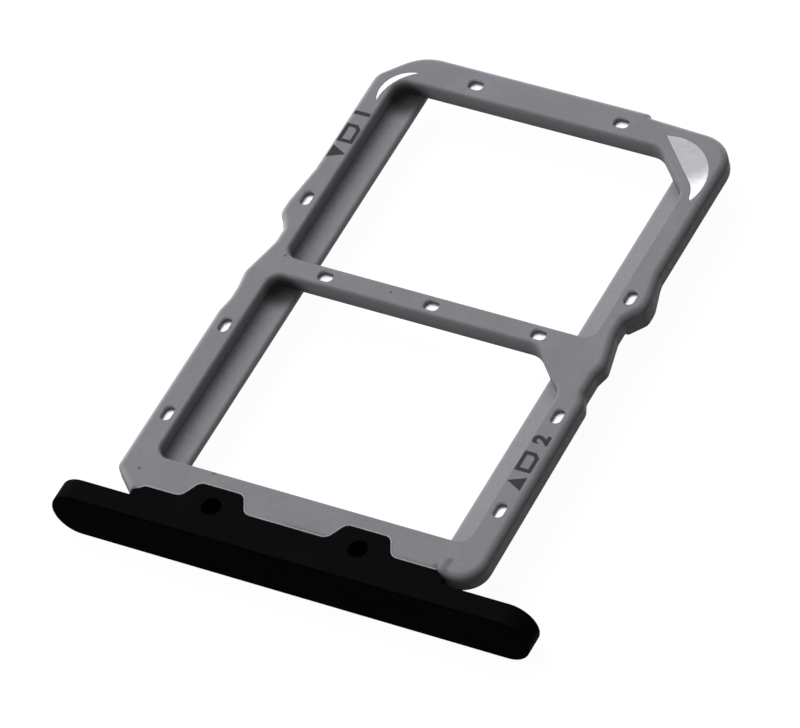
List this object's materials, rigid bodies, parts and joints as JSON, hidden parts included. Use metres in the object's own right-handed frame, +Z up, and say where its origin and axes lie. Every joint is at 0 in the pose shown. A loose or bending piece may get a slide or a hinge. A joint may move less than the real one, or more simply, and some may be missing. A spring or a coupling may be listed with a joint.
{
  "type": "sim card tray",
  "caption": "Slim grey tray with two stepped card pockets end to end, click bumps and notches on its rails, and a black pill-shaped end cap that closes the slot.",
  "frame": {"origin": "bottom centre of the whole tray's box, under the card pockets, at the level of the end cap's underside", "axes": "+X along the end cap, +Y the way the tray slides into the phone, +Z up out of the card pockets"},
  "size_m": [0.019, 0.023, 0.002],
  "materials": {
    "anodised_cap": "black anodised, fine blasted satin",
    "stainless_sheet": "bright rolled sheet",
    "grey_moulding": "matt glass-filled moulding, mid grey"
  },
  "bodies": {
    "root": {"end_cap": "anodised_cap", "steel_insert": "stainless_sheet", "tray_frame": "grey_moulding"}
  },
  "joints": []
}
